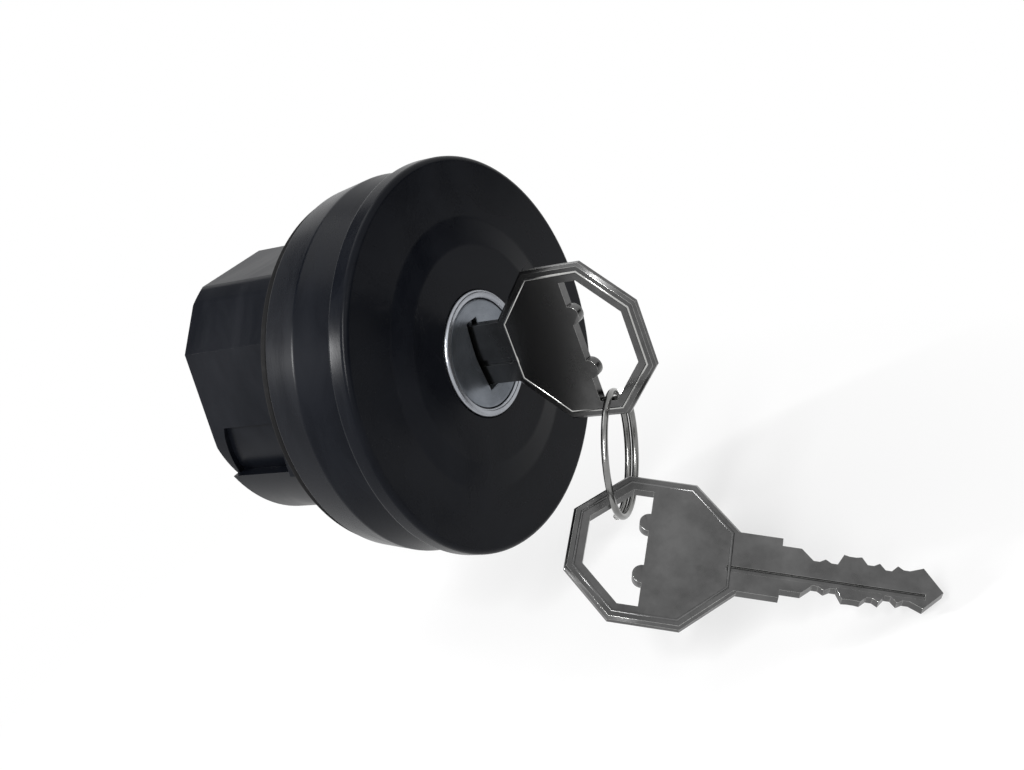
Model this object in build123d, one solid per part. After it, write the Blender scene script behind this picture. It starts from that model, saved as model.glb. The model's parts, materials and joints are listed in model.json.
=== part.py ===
from build123d import *
import math
import os

# Locking fuel filler cap: a free-turning cover with a key lock, a neck insert with a vent valve,
# and a key ring that joins the key in the lock to a spare key. All sizes are in millimetres.
#
# Frame: the cap's axis is Y. The seal plane is Y = 0, the cover faces -Y and the insert points
# to +Y. The key slot stands upright, along Z. Angles about the axis run from +X towards +Z.

# ---------------------------------------------------------------- driving dimensions

# Neck insert and its flange
insert_radius = 25.6            # over the insert's corners
insert_length = 27.4
insert_edge = 0.5
spigot_radius = 26.0            # full-round land behind the seal
root_groove = 25.4              # relief at the flange's root, under the gasket
spigot_length = 5.0
top_flat = 23.9                 # axis to the flats that face +Z and -Z
side_flat = 21.4                # axis to the flats that face +X and -X
side_tilt = 6.5                 # the side flats lean in towards the facets
facet_flat = 24.7               # axis to the facet that cuts the corner above each side flat
facet_angle = -43.8
low_corner_radius = 26.8        # the corner below each side flat
low_corner_shift = 4.3
flange_radius = 30.8
flange_thickness = 3.4
flange_edge = 0.4
gasket_thickness = 1.5
gasket_radius = 32.4
gasket_clearance = 0.1          # the gasket slips over the land
gasket_edge = 0.35
body_bore = 18.4
body_wall = 2.5
end_ledge_width = 1.2
end_recess = 0.6

# Bayonet channel on each side flat
channel_floor = 20.6
channel_start = 11.0
channel_top = 0.4
channel_width = 10.3
lip_thick_end = 4.0
lip_thin_end = 0.6
lip_radius = 21.7

# Cored pockets in the insert's thick corners
pocket_angle = 52.0
pocket_half_angle = 9.0
pocket_radius = 21.6
pocket_width = 1.6
pocket_start = 14.0

# Cover
cover_radius = 35.2
cover_rim = 4.0
cover_edge = 1.0
cover_wall = 2.4
cover_back_edge = 0.6
rim_step = 0.3                  # share of the front rim's rounding that its first cut takes
plateau_radius = 19.4
plateau_foot = 24.2
plateau_height = 0.8
barrel_neck = 32.6              # outside radius of the grip barrel behind the disc
barrel_crest = 34.2
barrel_mouth = 33.0
barrel_wall = 1.8
barrel_length = 16.1
barrel_gap = 0.4                # between the barrel's mouth and the gasket
crest_depth = 8.6               # from the disc's rear face to the crest
sleeve_wall = 2.0
hub_radius = 14.6
hub_shoulder = 1.9
rib_width = 1.6
hub_ribs = 6
rib_clearance = 1.0             # between the ribs and the body's flange
running_clearance = 0.08
end_play = 0.1

# Lock
bezel_radius = 11.25
bezel_width = 1.5
bezel_height = 0.6              # how far it stands proud of the plateau
bezel_depth = 2.0
bezel_edge = 0.45
housing_radius = 10.4
housing_flange = 11.1
housing_flange_thickness = 1.0
fit_clearance = 0.05
face_radius = 9.6
face_clearance = 0.1
face_skin = 0.5
face_dish = 1.05
face_set_back = 0.45            # from the bezel's front to the face's rim
face_lip = 0.45
face_skirt = 2.45
slot_height = 12.8
slot_width = 3.2
face_bond = 0.04                # film between the face and the plug's head
plug_head_depth = 3.0           # from the housing's front to the shoulder under the plug's head
plug_radius = 7.2
plug_end = 6.2
plug_reach = 0.6                # of the plug past the hub's rear face
keyway_end = 4.6
keyway_clearance = 0.2
clip_groove_start = 4.7
clip_thickness = 0.7
clip_depth = 0.9
clip_radius = 8.6
clip_clearance = 0.03
clip_mouth = 0.8                # width of the ring's opening, as a share of its bore
tail_square = 4.0
rib_key_width = 2.0
rib_key_height = 0.5
rib_key_length = 11.5
rib_key_play = 0.5
housing_pin_radius = 0.75
housing_pin_y = -13.0
pin_socket_depth = 1.8
pin_socket_gap = 0.05
pin_reach = 1.25                # past the journal's radius, into the hub's shoulder
wafer_groove_depth = 1.3        # the wafers reach into this groove when the key is out
wafer_groove_side = 0.2
wafer_groove_end = 1.2

# Shutter behind the slot
shutter_skin = 0.4
shutter_reach = 3.25
shutter_pin_radius = 0.4
shutter_barrel = 0.75
shutter_pin_x = 1.75
shutter_half_height = 6.3
shutter_clearance = 0.1
shutter_pin_reach = 0.7         # of the pivot past each end of the leaf
shutter_room = 1.3              # depth of the chamber behind the pivot
shutter_leaf_room = 0.2
shutter_window_depth = 1.2      # opening in the leaf's barrels for the spring
shutter_window_half = 1.9
shutter_spring_wire = 0.1
shutter_spring_gap = 0.18
shutter_spring_length = 3.0
shutter_spring_turns = 4

# Wafers
wafer_count = 6
wafer_first = -15.9
wafer_pitch = 2.9
wafer_thickness = 0.9
wafer_width = 5.0
wafer_window_width = 2.1
wafer_wing = 1.4
wing_height = 1.2
wing_clearance = 0.1
wing_low = -0.7                 # lowest place of the slot for the wing
wafer_clearance = 0.06
wafer_end_play = 0.08
wafer_lift = 0.05               # between a wafer's window and the key's cut
window_play = 0.3
spring_pocket = 1.7
wafer_spring_radius = 0.6
wafer_spring_wire = 0.12
wafer_spring_length = 3.7
wafer_spring_turns = 3
spring_pocket_play = 0.3

# Clutch
carrier_radius = 18.1
carrier_front = 3.0             # depth of the cam chamber
bolt_thickness = 2.9
bolt_width = 7.0
bolt_travel = 2.0
bolt_inner_end = 2.6
bolt_set_back = 0.2             # how far a drawn bolt lies inside the carrier's rim
bolt_side_play = 0.05
bolt_end_play = 0.05
cam_radius = 8.3
cam_thickness = 2.1
cam_pin_radius = 0.9
cam_pin_start = 4.2
cam_slot_clearance = 0.1
cam_chamber_clearance = 0.4
cam_end_play = 0.15
key_turn_angle = 90.0
notch_angles = (45, 90, 135, 225, 270, 315)
notch_depth = 1.9
notch_play = 0.8                # free length before and behind a bolt in its notch
notch_side_play = 0.3
carrier_floor = 1.0
carrier_screw_circle = 12.5
carrier_screw_angles = (0, 180)
screw_radius = 1.05
screw_head_radius = 2.0
screw_head_height = 1.3
screw_slot_width = 0.5
screw_slot_depth = 0.7
carrier_screw_length = 17.0
screw_tip_play = 0.6

# End plate and vent valve
end_plate_thickness = 2.4
end_vane_width = 1.2            # fins that hold the valve tube inside the insert
end_vane_angles = (45, 135, 225, 315)
end_vane_set_back = 2.0
end_plate_clearance = 0.1
valve_tube_radius = 7.0
valve_bore = 5.5
vent_clearance = 2.0            # from the clutch carrier to the vent's retainer
vent_radius = 3.2
seal_thickness = 0.6
seal_inner = 2.9
seal_outer = 4.9
plunger_thickness = 1.6
plunger_flat = 5.0              # axis to the flats that let the vapour pass
plunger_guide_radius = 1.8
plunger_guide_length = 1.8
poppet_stem = 0.7
poppet_head = 2.3
poppet_head_thickness = 0.8
poppet_length = 7.65
poppet_cap = 1.45
poppet_cap_thickness = 0.6
poppet_gap = 0.05
retainer_thickness = 1.2
retainer_flange = 0.4
retainer_hole = 2.6
retainer_clearance = 0.03
relief_spring_radius = 4.2
relief_spring_wire = 0.35
relief_spring_pitch = 1.16
vacuum_spring_radius = 1.1
vacuum_spring_wire = 0.16
vacuum_spring_turns = 4
spring_end_gap = 0.05
coil_runs = 8                   # straight runs in each turn of a spring

# Keys
bow_width = 28.0                # across the flats of the octagon
bow_rim = 2.9                   # width of the bar round the window
key_thickness = 1.7
bow_bevel = 0.45
neck_reach = 20.8               # bow centre to the shoulder
neck_height = 11.3
blade_height = 8.4
blade_tip = 46.8                # bow centre to the point
tip_length = 3.2
tip_height_share = 0.9
tip_height = -0.3
neck_root = 1.5                 # how deep the neck runs into the bow
window_edge = -1.2              # the bow's window is half an octagon, from here back
lug_radius = 1.7                # rounded lugs that reach into the window
lug_height = 5.0
groove_start = 12.0             # warding groove on both faces of the blade
groove_end = 44.0
groove_height = 1.1
groove_depth = 0.4
groove_centre = -1.6
key_tip_gap = 0.13
top_cuts = (2.2, 2.2, 4.0, 2.9, 2.4, 2.9)
bottom_cuts = (2.5, 2.5, 4.1, 3.2, 2.4, 2.8)
cut_land = 0.5                  # half length of each cut's floor
cut_peak = 0.6                  # height of the ridges between the cuts

# Split ring
ring_radius = 10.7
ring_wire = 0.6
ring_pitch = 1.3
ring_turns = 1.5
ring_clearance = 0.12           # lets the ring turn freely round a key's bar
ring_normal = Vector(-0.295, 0.937, 0.185)
ring_seat_direction = Vector(0.234, -0.117, 0.966)  # from the ring's centre to the key in the lock
ring_seat_shift = -3.2          # along the bar, from the bow's centre
ring_start_angle = 13.0
spare_seat_angle = -134.3

# Spare key: directions of its length and of its face
spare_axis = Vector(0.347, -0.841, -0.416)
spare_face = Vector(-0.306, -0.521, 0.797)

# ---------------------------------------------------------------- modelling allowances

past = 1.0                      # how far a cut runs past the face that it opens
joined = 0.1                    # how deep one form sinks into another of the same piece

# ---------------------------------------------------------------- derived places

flange_rear = -gasket_thickness
flange_front = flange_rear - flange_thickness
barrel_rear = flange_rear - barrel_gap
cover_rear = barrel_rear - barrel_length
crest = cover_rear + crest_depth
cover_front = cover_rear - cover_rim
plateau_front = cover_front - plateau_height
web_rear = flange_front + body_wall
notch_width = bolt_width + 2 * notch_side_play

bezel_front = plateau_front - bezel_height
bezel_rear = bezel_front + bezel_depth
housing_front = bezel_rear
housing_seat = housing_front + housing_flange_thickness
hub_rear = plug_end - plug_reach
housing_rear = clip_groove_start - end_play
head_rear = housing_front + plug_head_depth
housing_bore = plug_radius + fit_clearance
head_radius = face_radius - face_lip
face_front = bezel_front + face_set_back
dish_centre = face_front + face_dish
plug_shoulder = head_rear - end_play

carrier_rear = hub_rear + carrier_front + bolt_thickness + 2 * bolt_end_play
floor_rear = carrier_rear + carrier_floor
bolt_front = hub_rear + carrier_front + bolt_end_play
cam_front = plug_end + end_play

end_plate_rear = insert_length - end_recess
end_plate_front = end_plate_rear - end_plate_thickness
valve_front = floor_rear + vent_clearance + retainer_flange
plunger_rear = end_plate_front - seal_thickness
plunger_front = plunger_rear - plunger_thickness
poppet_seat = plunger_rear + poppet_gap

key_centre_y = keyway_end - key_tip_gap - blade_tip
wafer_places = [wafer_first + wafer_pitch * i for i in range(wafer_count)]


# ---------------------------------------------------------------- small helpers

def across(sketch, y_low, y_high):
    """Solid whose section in the X-Z plane is the sketch, from y_low to y_high."""
    return extrude(Plane.XZ.offset(-y_low) * sketch, amount=y_low - y_high)


def disc(radius, y_low, y_high, bore=0.0):
    """Round plate or tube on the cap's axis."""
    section = Circle(radius)
    if bore > 0:
        section -= Circle(bore)
    return across(section, y_low, y_high)


def turned(*points):
    """Solid turned about the cap's axis from (radius, y) points."""
    return revolve(Polygon(*points, align=None), axis=Axis.Y)


def at_angle(radius, angle):
    """Place in the X-Z plane at a radius and an angle."""
    a = math.radians(angle)
    return Pos(radius * math.cos(a), radius * math.sin(a))


def block(x_low, x_high, y_low, y_high, z_low, z_high):
    """Box between two corners."""
    size = (x_high - x_low, y_high - y_low, z_high - z_low)
    middle = ((x_high + x_low) / 2, (y_high + y_low) / 2, (z_high + z_low) / 2)
    return Pos(*middle) * Box(*size)


def coil(radius, wire, length, turns, place):
    """Open wire spring along the place's Z axis, from its origin, in short straight runs."""
    steps = round(turns * coil_runs)
    points = []
    for k in range(steps + 1):
        a = 2 * math.pi * k / coil_runs
        points.append((radius * math.cos(a), radius * math.sin(a), length * k / steps))
    path = Polyline(*points)
    section = Plane(origin=path @ 0, z_dir=path % 0) * RegularPolygon(wire, 4)
    return place * sweep(section, path=path, transition=Transition.RIGHT)


def along_axis(y):
    """Plane on the axis at y that faces +Y."""
    return Plane(origin=(0, y, 0), x_dir=(1, 0, 0), z_dir=(0, 1, 0))


def rounded_disc(radius, y_low, y_high, low_edge, high_edge):
    """Disc with its front rim rounded in two cuts and its rear rim broken."""
    step = rim_step * low_edge
    return turned((0, y_low), (radius - low_edge, y_low), (radius - step, y_low + step), (radius, y_low + low_edge),
                  (radius, y_high - high_edge), (radius - high_edge, y_high), (0, y_high))


def screw(length):
    """Slotted cheese-head screw along Y: the seat of its head at Y = 0, the shank towards -Y."""
    shank = disc(screw_radius, -length, joined)
    half = screw_slot_width / 2
    slot = block(-screw_head_radius, screw_head_radius, screw_head_height - screw_slot_depth,
                 screw_head_height + past, -half, half)
    return shank + disc(screw_head_radius, 0, screw_head_height) - slot


# ---------------------------------------------------------------- cap body and its seal

def bayonet_cut():
    """Channel on the -X side: a ledge above, a ramped lip behind and a round floor."""
    low = channel_top - channel_width
    outline = Polygon(
        (channel_start, low),
        (insert_length - lip_thin_end, low),
        (insert_length - lip_thick_end, channel_top),
        (channel_start, channel_top),
        align=None,
    )
    groove = extrude(Plane.YZ * outline, amount=-(insert_radius + past))
    groove -= disc(channel_floor, channel_start - past, insert_length + past)
    lip_trim = block(-insert_radius - past, 0, channel_start, insert_length + past, low, channel_top)
    lip_trim -= disc(lip_radius, channel_start - past, insert_length + 2 * past)
    corner = block(-insert_radius - past, 0, spigot_length, insert_length + past, -insert_radius - past, low)
    corner -= across(Pos(low_corner_shift, 0) * Circle(low_corner_radius), 0, insert_length + 2 * past)
    return groove + lip_trim + corner


def cored_pocket(angle):
    """Kidney pocket, open at the rear, that thins a corner of the insert."""
    arc = CenterArc((0, 0), pocket_radius, angle - pocket_half_angle, 2 * pocket_half_angle)
    section = trace(arc, pocket_width)
    for end in (arc @ 0, arc @ 1):
        section += Pos(end.X, end.Y) * Circle(pocket_width / 2)
    return across(section, pocket_start, insert_length + past)


def make_cap_body():
    flange = disc(flange_radius, flange_front, flange_rear)
    flange = chamfer(flange.edges().group_by(Axis.Y)[0], flange_edge)
    spigot = disc(root_groove, flange_rear, 0) + disc(spigot_radius, 0, spigot_length)
    wide = 2 * insert_radius
    section = Circle(insert_radius) & Rectangle(wide, 2 * top_flat)
    section &= Rot(0, 0, -side_tilt) * Rectangle(2 * side_flat, wide)
    section &= Rot(0, 0, facet_angle) * Rectangle(2 * facet_flat, wide)
    insert = across(section, 0, insert_length)
    insert = chamfer(insert.edges().group_by(Axis.Y)[-1], insert_edge)
    insert -= bayonet_cut()
    insert -= Rot(0, 180, 0) * bayonet_cut()
    body = flange + spigot + insert

    # Hollow: bearing sleeve in front, clutch chamber behind it, ledge for the end plate
    sleeve_bore = hub_radius + running_clearance
    sleeve_rear = hub_rear - end_play
    body -= disc(sleeve_bore, flange_front - past, sleeve_rear + past)
    body -= disc(body_bore, web_rear, sleeve_rear, sleeve_bore + sleeve_wall)
    body -= disc(body_bore, sleeve_rear, insert_length + past)
    body -= disc(body_bore + end_ledge_width, end_plate_front, insert_length + past)
    for angle in notch_angles:
        depth = body_bore + notch_depth
        notch = block(0, depth, bolt_front - notch_play, carrier_rear + notch_play,
                      -notch_width / 2, notch_width / 2)
        notch -= disc(body_bore - past, sleeve_rear, end_plate_front)
        body -= Rot(0, -angle, 0) * notch
    for angle in (pocket_angle, 180 - pocket_angle, 180 + pocket_angle, -pocket_angle):
        body -= cored_pocket(angle)
    return body


def make_gasket():
    bore = spigot_radius + gasket_clearance
    ring = disc(gasket_radius, flange_rear, 0, bore)
    outer = ring.edges().filter_by(GeomType.CIRCLE).group_by(SortBy.RADIUS)[-1]
    return chamfer(outer, gasket_edge)


# ---------------------------------------------------------------- cover

def make_cover():
    cover = rounded_disc(cover_radius, cover_front, cover_rear, cover_edge, cover_back_edge)
    sunk = cover_front + joined
    cover += turned((0, sunk), (plateau_foot, sunk), (plateau_foot, cover_front),
                    (plateau_radius, plateau_front), (0, plateau_front))
    inner_face = cover_front + cover_wall

    # Grip barrel behind the disc, hollow and open at the rear
    cover += turned((0, inner_face), (barrel_neck, inner_face), (barrel_neck, cover_rear),
                    (barrel_crest, crest), (barrel_mouth, barrel_rear), (0, barrel_rear))
    hollow = turned((0, inner_face), (barrel_neck - barrel_wall, inner_face),
                    (barrel_neck - barrel_wall, cover_rear), (barrel_crest - barrel_wall, crest),
                    (barrel_mouth - barrel_wall, barrel_rear), (0, barrel_rear))
    cover -= hollow
    shoulder_radius = hub_radius + hub_shoulder
    for k in range(hub_ribs):
        rib = block(hub_radius, barrel_crest, inner_face, flange_front - rib_clearance,
                    -rib_width / 2, rib_width / 2)
        cover += Rot(0, 360 / hub_ribs * (k + 0.5), 0) * rib & hollow

    # Hub: a shoulder that runs on the flange, then the journal inside the bearing sleeve
    cover += disc(shoulder_radius, inner_face, flange_front - end_play)
    cover += disc(hub_radius, flange_front - past, hub_rear)
    cover -= disc(housing_radius + fit_clearance, plateau_front - past, hub_rear + past)
    cover -= disc(bezel_radius + fit_clearance, plateau_front - past, housing_seat)
    key_slot = rib_key_width + 2 * fit_clearance
    top = housing_radius + rib_key_height + fit_clearance
    cover -= block(-key_slot / 2, key_slot / 2, housing_seat - rib_key_play,
                   housing_seat + rib_key_length + rib_key_play, 0, top)
    for angle in carrier_screw_angles:
        hole = at_angle(carrier_screw_circle, angle) * Circle(screw_radius + fit_clearance)
        cover -= across(hole, floor_rear - carrier_screw_length - screw_tip_play, hub_rear + past)
    pin_axis = Plane(origin=(0, housing_pin_y, 0), z_dir=(1, 0, 0))
    cover -= extrude(pin_axis * Circle(housing_pin_radius + fit_clearance), amount=shoulder_radius + past)
    return cover


# ---------------------------------------------------------------- lock

def make_bezel_ring():
    ring = disc(bezel_radius, bezel_front, bezel_rear, bezel_radius - bezel_width)
    front = ring.edges().filter_by(GeomType.CIRCLE).group_by(Axis.Y)[0]
    return chamfer(front, bezel_edge)


def make_lock_housing():
    housing = disc(housing_flange, housing_front, housing_seat)
    housing += disc(housing_radius, housing_front, housing_rear)
    half = rib_key_width / 2
    housing += block(-half, half, housing_seat, housing_seat + rib_key_length, housing_radius - joined,
                     housing_radius + rib_key_height)
    housing -= disc(face_radius + face_clearance, housing_front - past, head_rear)
    housing -= disc(housing_bore, housing_front - past, housing_rear + past)
    groove_half = wafer_width / 2 + wafer_groove_side
    groove = block(-groove_half, groove_half, wafer_places[0] - wafer_groove_end,
                   wafer_places[-1] + wafer_groove_end, -housing_bore - wafer_groove_depth,
                   housing_bore + wafer_groove_depth)
    housing -= groove
    socket = Plane(origin=(housing_radius - pin_socket_depth, housing_pin_y, 0), z_dir=(1, 0, 0))
    housing -= extrude(socket * Circle(housing_pin_radius + fit_clearance), amount=pin_socket_depth + past)
    return housing


def make_housing_pin():
    inner_end = housing_radius - pin_socket_depth + pin_socket_gap
    start = Plane(origin=(inner_end, housing_pin_y, 0), z_dir=(1, 0, 0))
    return extrude(start * Circle(housing_pin_radius), amount=hub_radius + pin_reach - inner_end)


def make_plug_face():
    lip = face_radius - face_lip
    dish = turned((0, dish_centre), (lip, face_front), (face_radius, face_front),
                  (face_radius, face_front + face_skirt), (lip + fit_clearance, face_front + face_skirt),
                  (lip + fit_clearance, face_front + face_skin), (0, dish_centre + face_skin))
    return dish - across(Rectangle(slot_width, slot_height), face_front - past, dish_centre + face_skin + past)


def make_lock_plug():
    back = face_skin + face_bond
    plug = turned((0, dish_centre + back), (head_radius, face_front + back), (head_radius, plug_shoulder),
                  (plug_radius, plug_shoulder), (plug_radius, plug_end), (0, plug_end))
    groove = disc(plug_radius + past, clip_groove_start, clip_groove_start + clip_thickness + end_play,
                  plug_radius - clip_depth)
    plug -= groove
    plug += across(Rectangle(tail_square, tail_square), plug_end - joined, cam_front + cam_thickness)

    # Keyway, shutter chamber and the chamber behind it where the open shutter lies
    keyway = Rectangle(key_thickness + 2 * keyway_clearance, blade_height + 2 * keyway_clearance)
    plug -= across(keyway, face_front - past, keyway_end)
    shutter_y = plug_shutter_y()
    half = shutter_half_height + shutter_clearance
    chamber_x = shutter_pin_x + shutter_barrel + shutter_clearance
    plug -= block(-slot_width / 2, chamber_x, face_front - past, shutter_y + shutter_room, -half, half)
    shutter_end = shutter_y + shutter_reach + shutter_leaf_room
    plug -= block(-slot_width / 2, shutter_pin_x, face_front - past, shutter_end, -half, half)
    pin_hole = Plane(origin=(shutter_pin_x, shutter_y, 0)) * Circle(shutter_pin_radius + fit_clearance)
    plug -= extrude(pin_hole, amount=half + shutter_pin_reach, both=True)

    # Wafer slots, each open at the top, with its wing slot and spring pocket beside it
    for y in wafer_places:
        half_slot = wafer_thickness / 2 + wafer_clearance
        half_width = wafer_width / 2 + wafer_clearance
        plug -= block(-half_width, half_width, y - half_slot, y + half_slot, -plug_radius, plug_radius)
        wing_end = wafer_width / 2 + wafer_wing + wing_clearance
        plug -= block(half_width - joined, wing_end, y - half_slot, y + half_slot, wing_low, plug_radius)
        pocket_floor = wing_low - wafer_spring_length - spring_pocket_play
        plug -= block(half_width - joined, half_width + spring_pocket, y - spring_pocket / 2,
                      y + spring_pocket / 2, pocket_floor, wing_low + joined)
    return plug


def plug_shutter_y():
    """Height of the shutter's pin along the axis, just behind the face."""
    return dish_centre + face_skin + shutter_barrel + shutter_clearance


def make_dust_shutter():
    """Leaf with a barrel at each end, turning on its own pivot: it lies open beside the key."""
    y = plug_shutter_y()
    left = shutter_pin_x - shutter_barrel
    leaf = block(left, left + shutter_skin, y, y + shutter_reach, -shutter_half_height, shutter_half_height)
    pivot = Plane(origin=(shutter_pin_x, y, 0))
    leaf += extrude(pivot * Circle(shutter_barrel), amount=shutter_half_height, both=True)
    leaf -= block(left - past, shutter_pin_x + shutter_barrel + past, y - shutter_barrel - past,
                  y + shutter_window_depth, -shutter_window_half, shutter_window_half)
    pin_half = shutter_half_height + shutter_pin_reach
    return leaf + extrude(pivot * Circle(shutter_pin_radius), amount=pin_half, both=True)


def make_shutter_spring():
    place = Plane(origin=(shutter_pin_x, plug_shutter_y(), -shutter_spring_length / 2))
    radius = shutter_pin_radius + shutter_spring_gap
    return coil(radius, shutter_spring_wire, shutter_spring_length, shutter_spring_turns, place)


def key_half_heights(station):
    """Half heights of the blade above and below its centre line at a wafer station."""
    return top_cuts[station], bottom_cuts[station]


def make_wafer(station):
    """Flat wafer whose window rests on the key: odd ones on the top cut, even ones below."""
    above, below = key_half_heights(station)
    window = blade_height + window_play
    if station % 2 == 0:
        middle = above + wafer_lift - window / 2
    else:
        middle = window / 2 - below - wafer_lift
    outline = Circle(plug_radius - wafer_end_play) & Rectangle(wafer_width, 2 * plug_radius)
    wing_middle = (wafer_width + wafer_wing - 2 * joined) / 2
    outline += Pos(wing_middle, 0) * Rectangle(wafer_wing + 2 * joined, wing_height)
    outline -= Pos(0, middle) * Rectangle(wafer_window_width, window)
    y = wafer_places[station]
    return across(outline, y - wafer_thickness / 2, y + wafer_thickness / 2)


def make_wafer_spring(station):
    x = wafer_width / 2 + wafer_clearance + spring_pocket / 2
    low = wing_low - wafer_spring_length - spring_pocket_play + wafer_spring_wire + spring_end_gap
    place = Plane(origin=(x, wafer_places[station], low))
    length = wafer_spring_length - 2 * spring_end_gap
    return coil(wafer_spring_radius, wafer_spring_wire, length, wafer_spring_turns, place)


def make_plug_clip():
    """Open retaining ring that sits in the groove at the plug's rear."""
    bore = plug_radius - clip_depth + clip_clearance
    ring = disc(clip_radius, clip_groove_start, clip_groove_start + clip_thickness, bore)
    half = bore * clip_mouth
    mouth = block(-half, half, clip_groove_start - past, clip_groove_start + clip_thickness + past,
                  -clip_radius - past, 0)
    return ring - mouth


# ---------------------------------------------------------------- clutch

def spiral_point(turn, lift):
    """Point of the cam's spiral slot after the key has turned by that angle."""
    radius = cam_pin_start + bolt_travel * lift
    a = math.radians(turn)
    return radius * math.cos(a), radius * math.sin(a)


def make_drive_cam():
    """Cam with two spiral slots: a quarter turn of the key moves both bolts outwards."""
    cam = Circle(cam_radius)
    for base in (90, 270):
        points = [spiral_point(base + key_turn_angle * share, share) for share in (0, 0.5, 1)]
        slot = trace(ThreePointArc(*points), 2 * (cam_pin_radius + cam_slot_clearance))
        for end in (points[0], points[-1]):
            slot += Pos(*end) * Circle(cam_pin_radius + cam_slot_clearance)
        cam -= slot
    square = tail_square + 2 * fit_clearance
    cam -= Rectangle(square, square)
    return across(cam, cam_front, cam_front + cam_thickness)


def make_clutch_bolt(side):
    """Sliding bolt with a pin in the cam's slot; side is 1 above the axis and -1 below."""
    retracted = carrier_radius - bolt_set_back
    middle = (bolt_inner_end + carrier_radius) / 2
    plan = Circle(retracted) & (Pos(0, middle) * Rectangle(bolt_width, carrier_radius - bolt_inner_end))
    bolt = across(plan, bolt_front, bolt_front + bolt_thickness)
    pin = Pos(0, cam_pin_start) * Circle(cam_pin_radius)
    bolt += across(pin, cam_front + cam_end_play, bolt_front + joined)
    return bolt if side > 0 else Rot(0, 180, 0) * bolt


def make_clutch_carrier():
    """Cup behind the hub: a chamber for the cam and a tunnel, open at both ends, for the bolts."""
    carrier = disc(carrier_radius, hub_rear, floor_rear)
    carrier -= disc(cam_radius + cam_chamber_clearance, hub_rear - past, hub_rear + carrier_front)
    half = bolt_width / 2 + bolt_side_play
    reach = carrier_radius + past
    carrier -= block(-half, half, hub_rear + carrier_front, carrier_rear, -reach, reach)
    half = cam_pin_radius + cam_slot_clearance
    carrier -= block(-half, half, hub_rear - past, hub_rear + carrier_front, -reach, reach)
    for angle in carrier_screw_angles:
        hole = at_angle(carrier_screw_circle, angle) * Circle(screw_radius + fit_clearance)
        carrier -= across(hole, hub_rear - past, floor_rear + past)
    return carrier


def make_carrier_screws():
    group = []
    for angle in carrier_screw_angles:
        place = at_angle(carrier_screw_circle, angle).position
        group.append(Pos(place.X, floor_rear, place.Y) * screw(carrier_screw_length))
    return Compound(children=group)


# ---------------------------------------------------------------- end plate and vent valve

def make_end_plate():
    """Plate welded on the insert's ledge, with the valve's tube and four fins inside."""
    plate = disc(body_bore + end_ledge_width - end_plate_clearance, end_plate_front, end_plate_rear)
    plate += disc(valve_tube_radius, valve_front, end_plate_front + joined)
    for angle in end_vane_angles:
        fin = block(valve_bore + joined, body_bore - end_plate_clearance, valve_front + end_vane_set_back,
                    end_plate_front + joined, -end_vane_width / 2, end_vane_width / 2)
        plate += Rot(0, angle, 0) * fin
    plate -= disc(valve_bore, valve_front - past, end_plate_front)
    return plate - disc(vent_radius, end_plate_front - past, end_plate_rear + past)


def make_spring_retainer():
    cup = disc(valve_tube_radius, valve_front - retainer_flange, valve_front)
    cup += disc(valve_bore - retainer_clearance, valve_front - joined, valve_front + retainer_thickness)
    return cup - disc(retainer_hole, valve_front - past, valve_front + retainer_thickness + past)


def make_relief_seal():
    return disc(seal_outer, plunger_rear, end_plate_front, seal_inner)


def make_relief_plunger():
    head = Circle(valve_bore - running_clearance) & RegularPolygon(plunger_flat, 6, major_radius=False)
    plunger = across(head, plunger_front, plunger_rear)
    plunger += disc(plunger_guide_radius, plunger_front - plunger_guide_length, plunger_front + joined)
    guide_front = plunger_front - plunger_guide_length
    return plunger - disc(poppet_stem + running_clearance, guide_front - past, plunger_rear + past)


def make_relief_spring():
    end_room = relief_spring_wire + spring_end_gap
    start = valve_front + retainer_thickness + end_room
    length = plunger_front - end_room - start
    turns = length / relief_spring_pitch
    return coil(relief_spring_radius, relief_spring_wire, length, turns, along_axis(start))


def make_vacuum_poppet():
    front = poppet_seat + poppet_head_thickness - poppet_length
    poppet = disc(poppet_stem, front, poppet_seat + joined)
    poppet += disc(poppet_head, poppet_seat, poppet_seat + poppet_head_thickness)
    return poppet + disc(poppet_cap, front, front + poppet_cap_thickness)


def make_vacuum_spring():
    cap_rear = poppet_seat + poppet_head_thickness - poppet_length + poppet_cap_thickness
    end_room = vacuum_spring_wire + spring_end_gap
    start = cap_rear + end_room
    length = plunger_front - plunger_guide_length - end_room - start
    return coil(vacuum_spring_radius, vacuum_spring_wire, length, vacuum_spring_turns, along_axis(start))


# ---------------------------------------------------------------- keys and split ring

def blade_side(cuts, sign):
    """Blade edge from the shoulder to the last cut, as (length, height) points."""
    limit = blade_height / 2
    points = [(neck_reach, limit * sign)]
    stations = [y - key_centre_y for y in wafer_places]
    points.append((stations[0] - cut_land - (limit - cuts[0]), limit * sign))
    for k, s in enumerate(stations):
        points.append((s - cut_land, cuts[k] * sign))
        points.append((s + cut_land, cuts[k] * sign))
        if k + 1 < len(stations):
            peak = min(limit, max(cuts[k], cuts[k + 1]) + cut_peak)
            points.append((s + wafer_pitch / 2, peak * sign))
    points.append((blade_tip - tip_length, limit * tip_height_share * sign))
    return points


def octagon(width):
    """Regular octagon across its flats, with one side square to the key's length."""
    return RegularPolygon(width / 2, 8, major_radius=False, rotation=180 / 8)


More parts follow.
